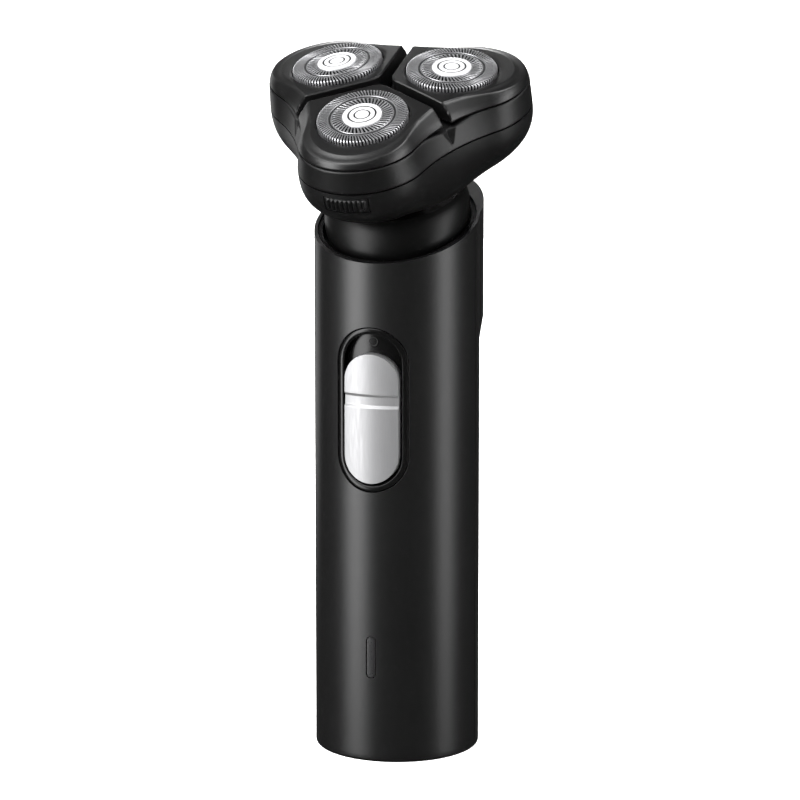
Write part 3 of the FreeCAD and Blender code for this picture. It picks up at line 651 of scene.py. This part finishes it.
def in_wedge(x, y, gap, corner):
    """True inside the front third of the head, cut back by a gap, with its inner corner rounded."""
    apex = gap / SIN_60
    right = (-y - apex) * SIN_60 - x * COS_60
    left = (-y - apex) * SIN_60 + x * COS_60
    if right < 0 or left < 0:
        return False
    centre = -(apex + corner / SIN_60)
    near_tip = y > centre + corner * SIN_60
    return not near_tip or math.hypot(x, y - centre) <= corner


def in_plate(x, y, rim, gap, corner):
    angle = math.atan2(x, -y)
    return math.hypot(x, y) <= lobed_radius(rim, angle) and in_wedge(x, y, gap, corner)


def reach(turn, rim, gap, corner):
    """Distance from the cutter centre, seen in plan, to the edge of a plate."""
    near, far = 8.0, 32.0
    for _ in range(26):
        mid = (near + far) / 2
        x, y = mid * math.sin(turn), -CUTTER_RC - mid * math.cos(turn)
        if in_plate(x, y, rim, gap, corner):
            near = mid
        else:
            far = mid
    return near


def plan_point(turn, distance, height=None):
    x, y = distance * math.sin(turn), -CUTTER_RC - distance * math.cos(turn)
    return x, y, plane_height(y) if height is None else height


def dished(turn, radius, rise):
    """Point at a radius and rise in the front cutter's own frame."""
    lean = math.radians(CUTTER_DISH)
    across, along = radius * math.sin(turn), -radius * math.cos(turn)
    return (across, -CUTTER_RC + along * math.cos(lean) - rise * math.sin(lean),
            along * math.sin(lean) + rise * math.cos(lean))


def plate_column(turn):
    """Section of a plate from the foil hole out over its top and down to the seam."""
    lip_r = FOIL_HOLE_R + 0.17
    hole = ((11.9, -3.4), (11.9, -2.3), (FOIL_HOLE_R, -2.2), (FOIL_HOLE_R, -1.04),
            (FOIL_HOLE_R + 0.05, -0.94), (lip_r, PLATE_TOP))
    column = [dished(turn, radius, rise) for radius, rise in hole]
    groove_r = reach(turn, inset(UPPER_RIM, -9.0), GROOVE_GAP, CORNER_R)
    sides = [(min(reach(turn, inset(UPPER_RIM, cut), 0.0, 0.1), groove_r), height)
             for height, cut in PLATE_SIDE]
    tip = smooth((math.cos(turn) + 0.2) / 1.2)
    crease_h = PLATE_TOP
    drop = blend(0.22, 0.5, tip)
    for _ in range(8):
        crease_r = side_at(sides, crease_h)
        crease_h = plane_height(-CUTTER_RC - crease_r * math.cos(turn)) - drop
    shoulder = 0.35 if crease_r >= groove_r else blend(0.55, 2.6, tip)
    flat_r = max(11.9, crease_r - shoulder)
    for share in (0.33, 0.66, 0.95):
        column.append(plan_point(turn, blend(lip_r, flat_r, share)))
    step_r = min(0.7, (crease_r - flat_r) * 0.5)
    for out, share in ((flat_r, 0.02), (flat_r + step_r * 0.3, 0.1), (flat_r + step_r, 0.6),
                       (blend(flat_r + step_r, crease_r, 0.5), 0.8), (crease_r - 0.12, 0.98)):
        level = plan_point(turn, out)[2]
        column.append(plan_point(turn, out, level - drop * share))
    crease_h -= 0.05
    low_h = PLATE_SIDE[0][0]
    for step in range(9):
        height = blend(crease_h, low_h, step / 8)
        column.append(plan_point(turn, side_at(sides, height), height))
    column.append(plan_point(turn, max(12.5, sides[0][0] - 1.0), low_h))
    return column


def side_at(sides, height):
    """Plan distance of the side wall at a height, read between its known rings."""
    for (low_r, low_h), (high_r, high_h) in zip(sides, sides[1:]):
        if height <= high_h:
            return blend(low_r, high_r, max(0.0, (height - low_h) / (high_h - low_h)))
    return sides[-1][0]


def lobe_place(index):
    return HEAD @ Matrix.Rotation(math.radians(120.0 * index), 4, "Z")


def lobe_plates():
    count = 720
    columns = [plate_column(2 * math.pi * k / count) for k in range(count)]
    skin = skin_rings(columns, around=True, loop=True)
    for index in range(3):
        piece(f"plate_{index + 1}", skin, "cover", "plate_black", [f"lobe_plate_{index + 1}"],
              place=lobe_place(index), sharp=34.0)


def scoop(angle, height):
    """Depth of the wedge-shaped dimple that carries each gap between the plates down the side."""
    off = abs(angle % THIRD - THIRD / 2) * WAIST_R
    width = 2.5 * (height - BAND_LOW - 0.9) / (BAND_TOP - BAND_LOW - 0.9)
    if width <= 0 or off >= width:
        return 0.0
    return 0.9 * (1 - off / width) ** 0.8 * min(1.0, width / 1.2)


def band_dip(angle):
    """The band's top edge falls away a little at each waist."""
    off = abs(angle % THIRD - THIRD / 2) * WAIST_R
    return 1.05 * (1 - smooth(off / 8.5))


def band_outer(angle, height):
    share = (height - BAND_LOW) / (BAND_TOP - BAND_LOW)
    wall = blend(lobed_radius(LOWER_RIM, angle), lobed_radius(UPPER_RIM, angle), share)
    return wall - scoop(angle, height)


def side_band():
    """Lobed wall with rounded edges, dipped and dimpled at the waists."""
    count = 600
    # share of the way up the band, and depth of the point under its outer surface
    rows = [(0.0, 0.3), (0.0, 0.14), (0.012, 0.04), (0.04, 0.0)]
    rows += [(0.04 + 0.92 * k / 16, 0.0) for k in range(1, 17)]
    rows += [(0.985, 0.05), (1.0, 0.16), (1.0, HEAD_WALL), (0.8, HEAD_WALL), (0.0, HEAD_WALL)]
    columns = []
    for k in range(count):
        angle = 2 * math.pi * k / count
        top = BAND_TOP - band_dip(angle)
        column = []
        for share, cut in rows:
            height = blend(BAND_LOW, top, share)
            radius = band_outer(angle, height) - cut
            if cut == HEAD_WALL:
                radius += scoop(angle, height) * 0.6
            column.append((radius * math.sin(angle), -radius * math.cos(angle), height))
        columns.append(column)
    piece("side_band", skin_rings(columns, loop=True), "cover", "head_black", ["cover_frame"],
          place=HEAD)


def cover_deck():
    """Floor under the plates, with an opening for each cutter."""
    count = 240
    high, low = BAND_TOP - 0.95, BAND_TOP - 2.2
    columns = []
    for k in range(count):
        turn = 2 * math.pi * k / count
        out = reach(turn, inset(UPPER_RIM, 1.0), 0.0, 0.1)
        section = ((12.9, low), (12.9, high - 0.1), (13.0, high), (out, high), (out, low))
        columns.append([plan_point(turn, distance, height) for distance, height in section])
    skin = skin_rings(columns, around=True, loop=True)
    for index in range(3):
        piece(f"deck_{index + 1}", skin, "cover", "head_black", place=lobe_place(index))


def cover_knuckle():
    """Hinge knuckle of the cover with its arm, bored for the pin."""
    corners = [(21.4, -7.4), (27.4, -7.4), (27.5, -10.2)]
    corners += [(HINGE_Y + HINGE_R * math.cos(a), HINGE_H + HINGE_R * math.sin(a))
                for a in (math.radians(20.0 - 20.0 * k) for k in range(11))]
    corners += [(25.05, -10.8), (21.4, -10.8)]
    columns = []
    for y, h in resampled(corners, 96):
        toward = Vector((y - HINGE_Y, h - HINGE_H)).normalized() * HINGE_BORE_R
        column = []
        for x, inner in ((-2.3, True), (-2.3, False), (2.3, False), (2.3, True)):
            at = (HINGE_Y + toward.x, HINGE_H + toward.y) if inner else (y, h)
            column.append((x, *at))
        columns.append(column)
    piece("cover_knuckle", skin_rings(columns, loop=True), "cover", "head_black", place=HEAD, bevel=0.12)


def resampled(corners, count):
    """Even points along a closed polygon."""
    spans = [math.dist(a, b) for a, b in zip(corners, corners[1:] + corners[:1])]
    step = sum(spans) / count
    points, k, gone = [], 0, 0.0
    for n in range(count):
        while gone + spans[k] < n * step:
            gone += spans[k]
            k += 1
        share = (n * step - gone) / spans[k]
        a, b = corners[k], corners[(k + 1) % len(corners)]
        points.append((blend(a[0], b[0], share), blend(a[1], b[1], share)))
    return points


# ---- release button -------------------------------------------------------------------------
def bowl_front(x, height):
    """Y of the bowl's front surface at a width and height."""
    t = (BOWL_TOP - height) / (BOWL_TOP - BOWL_LOW)
    centre = LOWER_RIM[0] * (1 - t ** 2.62) ** 0.43
    tip = BOWL_FOOT_R + (LOWER_RIM[0] + LOWER_RIM[1] - BOWL_FOOT_R) * (1 - t ** 2.75) ** 0.86
    return -(centre + math.sqrt((tip - centre) ** 2 - x * x))


def rib_height(x, height):
    """Ribs across the button, ending in a row with rounded lower corners."""
    edge = abs(x) - (BUTTON_HALF - 2.1)
    low = BUTTON_LOW + 0.3 + (1.8 - math.sqrt(max(0.0, 3.24 - max(0.0, edge) ** 2)))
    inside = min(BUTTON_TOP - 0.25 - height, height - low, BUTTON_HALF - 0.25 - abs(x))
    wave = 0.5 + 0.5 * math.cos(2 * math.pi * x / RIB_PITCH)
    return RIB_PROUD * wave ** 0.7 * smooth(inside / 0.35)


def release_face():
    half, high, low = BUTTON_HALF - 0.03, BUTTON_TOP - 0.03, BUTTON_LOW + 0.03
    rows, across = 44, 180
    grid = []
    for row in range(rows + 1):
        height = blend(high, low, row / rows)
        line = []
        for k in range(across + 1):
            x = blend(-half, half, k / across)
            line.append((x, bowl_front(x, height) + 0.08 - rib_height(x, height), height))
        grid.append(line)
    outer, faces = skin_rings(grid, around=False)
    inner = [(x, bowl_front(x, height) + 1.4, height) for x, y, height in outer]
    piece("release_catch", closed_shell(outer, inner, faces), "release", "head_black", ["release_button"],
          place=HEAD, bevel=0.08)


# ---- cutters --------------------------------------------------------------------------------
def foil_path(start, end, over_edge):
    """Points (radius, rise, normal lean) along a foil bar; some bars run over the rounded edge."""
    if not over_edge:
        return [(blend(start, end, k / 5), 0.0, 0.0) for k in range(6)]
    bend = FOIL_R - FOIL_SHOULDER
    path = [(blend(start, bend, k / 5), 0.0, 0.0) for k in range(6)]
    for k in range(1, 6):
        lean = math.pi / 2 * k / 5
        path.append((bend + FOIL_SHOULDER * math.sin(lean), FOIL_SHOULDER * (math.cos(lean) - 1), lean))
    path.append((FOIL_R, end, math.pi / 2))
    return path


def foil_bars(count, path, middle_r):
    """Slanted bars between the slots of one track."""
    half = math.pi / count * BAR_SHARE
    slant = math.tan(math.radians(SLOT_SLANT))
    section = ((-1.0, FOIL_THICK), (-1.0, 0.05), (-0.8, 0.0), (0.8, 0.0), (1.0, 0.05), (1.0, FOIL_THICK))
    skins = []
    for k in range(count):
        base = 2 * math.pi * k / count
        rings = []
        for radius, rise, lean in path:
            centre = base + slant * math.log(radius / middle_r)
            ring = []
            for side, depth in section:
                r = radius - depth * math.sin(lean)
                angle = centre + side * half
                ring.append((r * math.sin(angle), -r * math.cos(angle), rise - depth * math.cos(lean)))
            rings.append(ring)
        skins.append(skin_rings(rings))
    return merge(*skins)


def foil_rings():
    """Unslotted parts of a foil: the seat of the cap, the channel, and the skirt with its flange."""
    low = -FOIL_THICK
    seat = [(4.3, low), (4.3, 0.0), (5.0, 0.0), (5.0, low)]
    a, b = CHANNEL
    channel = rounded([(a - 0.12, low, 0.0), (a - 0.12, 0.0, 0.0), (a + 0.05, 0.0, 0.05),
                       (a + 0.12, -0.16, 0.05), (b - 0.12, -0.16, 0.05), (b - 0.05, 0.0, 0.05),
                       (b + 0.12, 0.0, 0.0), (b + 0.12, low, 0.0)])
    skirt = rounded([(FOIL_R - 0.35, -1.7, 0.0), (FOIL_R, -1.7, 0.0), (FOIL_R, -2.6, 0.15),
                     (FLANGE_R, -2.6, 0.1), (FLANGE_R, -3.2, 0.1), (FOIL_R - 0.35, -3.2, 0.0)])
    return [lathe(profile, 168) for profile in (seat, channel, skirt)]


def foils_and_caps():
    outer = foil_bars(OUTER_SLOTS, foil_path(CHANNEL[1], -1.75, True), 9.7)
    inner = foil_bars(INNER_SLOTS, foil_path(4.9, CHANNEL[0], False), 6.1)
    foil = merge(outer, inner, *foil_rings())
    cap = lathe(cap_profile(), 128)
    for index in range(3):
        number = index + 1
        body, place = f"cutter_{number}", cutter_place(index)
        piece(f"foil_{number}", foil, body, "cutter_steel", [f"outer_cutter_{number}"],
              place=place, sharp=50.0)
        piece(f"cap_{number}", cap, body, "cap_steel", [f"cutter_cap_{number}"], place=place, sharp=50.0)
        # Dark rings: etched marks with painted shade in the cap grooves, painted shade in the foil channel.
        etch_and_shade_rings = piece(f"cap_rings_{number}", dark_rings(), body, "cap_steel", place=place)
        etch_and_shade_rings.data.materials[0] = MATERIALS["steel_shade_and_etch"]


def float_coils():
    """Thin coils that lift the foils."""
    turns, steps, sides = 2, 80, 8
    rings = []
    for k in range(turns * steps + 1):
        angle = 2 * math.pi * k / steps
        height = COIL_SEAT + 0.22 + COIL_RISE * k / (turns * steps)
        ring = []
        for side in range(sides):
            turn = 2 * math.pi * side / sides
            radius = COIL_R + COIL_WIRE_R * math.cos(turn)
            rise = height + COIL_WIRE_R * math.sin(turn)
            ring.append((radius * math.sin(angle), -radius * math.cos(angle), rise))
        rings.append(ring)
    points, faces = skin_rings(rings)
    faces += [tuple(reversed(range(sides))), tuple(range(len(points) - sides, len(points)))]
    for index in range(3):
        place = cutter_place(index)
        coil = piece(f"float_coil_{index + 1}", (points, faces), "cover", "steel_part",
                     [f"float_spring_{index + 1}"], place=place, sharp=60.0)
        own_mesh(coil)


def cap_profile():
    """Disc with a rounded rim and two plain ring grooves."""
    foot = -0.3
    corners = [(0.0, foot, 0.0), (0.0, CAP_TOP, 0.0)]
    for middle, half, depth in CAP_GROOVES:
        floor = CAP_TOP - depth
        corners += [(middle - half, CAP_TOP, 0.05), (middle - half + 0.05, floor, 0.03),
                    (middle + half - 0.05, floor, 0.03), (middle + half, CAP_TOP, 0.05)]
    corners += [(CAP_R, CAP_TOP, 0.26), (CAP_R, foot, 0.0)]
    return rounded(corners)


def dark_rings():
    """Dark rings in the grooves of a cap, as etched marks and painted shade on the groove floors, and in the
    channel of its foil as painted shade.
    """
    rings = []
    for middle, half, depth in CAP_GROOVES:
        low, high = CAP_TOP - depth, CAP_TOP - depth + 0.07
        near, far = middle - half + 0.06, middle + half - 0.06
        rings.append(lathe([(near, low), (near, high), (far, high), (far, low)], 128))
    # Painted shade: a dark ring on the floor of the foil's channel.
    near, far = CHANNEL[0] + 0.17, CHANNEL[1] - 0.17
    rings.append(lathe([(near, -0.18), (near, -0.1), (far, -0.1), (far, -0.18)], 168))
    return merge(*rings)


# ---- camera, light and stage ----------------------------------------------------------------
def set_camera():
    azimuth = math.radians(CAMERA_AZIMUTH)
    lift_angle = math.radians(CAMERA_ELEVATION)
    level = math.cos(lift_angle)
    back = Vector((math.sin(azimuth) * level, -math.cos(azimuth) * level, math.sin(lift_angle)))
    side = Vector((math.cos(azimuth), math.sin(azimuth), 0.0))
    target = Vector((0.0, 0.0, CAMERA_TARGET_UP)) + side * CAMERA_TARGET_SIDE
    data = bpy.data.cameras.new("camera")
    data.lens = CAMERA_LENS
    data.sensor_width = 36.0
    data.clip_start = 0.01
    camera = bpy.data.objects.new("camera", data)
    camera.location = target + back * CAMERA_DISTANCE
    camera.rotation_mode = "QUATERNION"
    camera.rotation_quaternion = (-back).to_track_quat("-Z", "Y")
    bpy.context.scene.collection.objects.link(camera)
    bpy.context.scene.camera = camera


# name, degrees round from the camera, distance, height, (width, height), watts, height aimed at
LIGHTS = (
    ("left_box", -58.0, 600.0, 170.0, (300.0, 640.0), 6.0, 130.0),
    ("right_box", 70.0, 600.0, 170.0, (240.0, 640.0), 3.0, 130.0),
    ("left_top", -75.0, 330.0, 720.0, (300.0, 300.0), 3.0, 160.0),
    ("right_top", 75.0, 330.0, 720.0, (300.0, 300.0), 2.6, 160.0),
    ("left_rim", -148.0, 650.0, 200.0, (160.0, 600.0), 0.5, 110.0),
    ("back_box", 180.0, 650.0, 200.0, (160.0, 600.0), 2.5, 110.0),
    ("front_top", -34.0, 560.0, 620.0, (420.0, 260.0), 3.0, 160.0),
)


def area_light(name, turn, distance, height, size, power, aim_height):
    """Soft box standing round the object, aimed at its axis."""
    data = bpy.data.lights.new(name, "AREA")
    data.shape = "RECTANGLE"
    data.size = size[0] * MM
    data.size_y = size[1] * MM
    data.energy = power
    lamp = bpy.data.objects.new(name, data)
    azimuth = math.radians(CAMERA_AZIMUTH + turn)
    spot = Vector((math.sin(azimuth) * distance, -math.cos(azimuth) * distance, height)) * MM
    lamp.location = spot
    lamp.rotation_mode = "QUATERNION"
    toward = Vector((0, 0, aim_height * MM)) - spot
    lamp.rotation_quaternion = toward.to_track_quat("-Z", "Y")
    bpy.context.scene.collection.objects.link(lamp)


def set_lights():
    for light in LIGHTS:
        area_light(*light)
    world = bpy.data.worlds.new("studio")
    world.use_nodes = True
    background = world.node_tree.nodes["Background"]
    background.inputs["Color"].default_value = (1.0, 1.0, 1.0, 1.0)
    background.inputs["Strength"].default_value = 0.05
    bpy.context.scene.world = world
    bpy.context.scene.view_settings.view_transform = "Standard"


def set_stage():
    """Pale floor that curves up into a wall all round, with a soft glow of its own."""
    flat_r, curve_r, wall_top = 1500.0, 600.0, 3200.0
    curve = [math.pi / 2 * k / 16 for k in range(17)]
    around = [2 * math.pi * k / 96 for k in range(96)]
    profile = [(0.0, 0.0), (300.0, 0.0)]
    profile += [(flat_r + curve_r * math.sin(a), curve_r - curve_r * math.cos(a)) for a in curve]
    profile.append((flat_r + curve_r, wall_top))
    rings = []
    for radius, height in profile:
        rings.append([(radius * math.sin(a), -radius * math.cos(a), height) for a in around])
    points, faces = skin_rings(rings)
    mesh = bpy.data.meshes.new("sweep")
    mesh.from_pydata([Vector(p) * MM for p in points], [], faces)
    mesh.shade_smooth()
    pale = finish("sweep_white", (0.93, 0.93, 0.93), 0.9, grain=3.0, tint=0.01, specular=0.1)
    shader = pale.node_tree.nodes["Principled BSDF"]
    shader.inputs["Emission Color"].default_value = (1.0, 1.0, 1.0, 1.0)
    shader.inputs["Emission Strength"].default_value = 0.82
    pale.cycles.emission_sampling = "NONE"
    mesh.materials.append(pale)
    sweep = bpy.data.objects.new("sweep", mesh)
    bpy.context.scene.collection.objects.link(sweep)
    sweep.visible_glossy = False


def main():
    dress_cad_nodes()
    front_shell()
    switch_bezel()
    switch_tray()
    switch_button()
    led_window()
    top_collar()
    lobe_plates()
    side_band()
    cover_deck()
    cover_knuckle()
    release_face()
    foils_and_caps()
    float_coils()
    set_camera()
    set_lights()
    set_stage()


main()
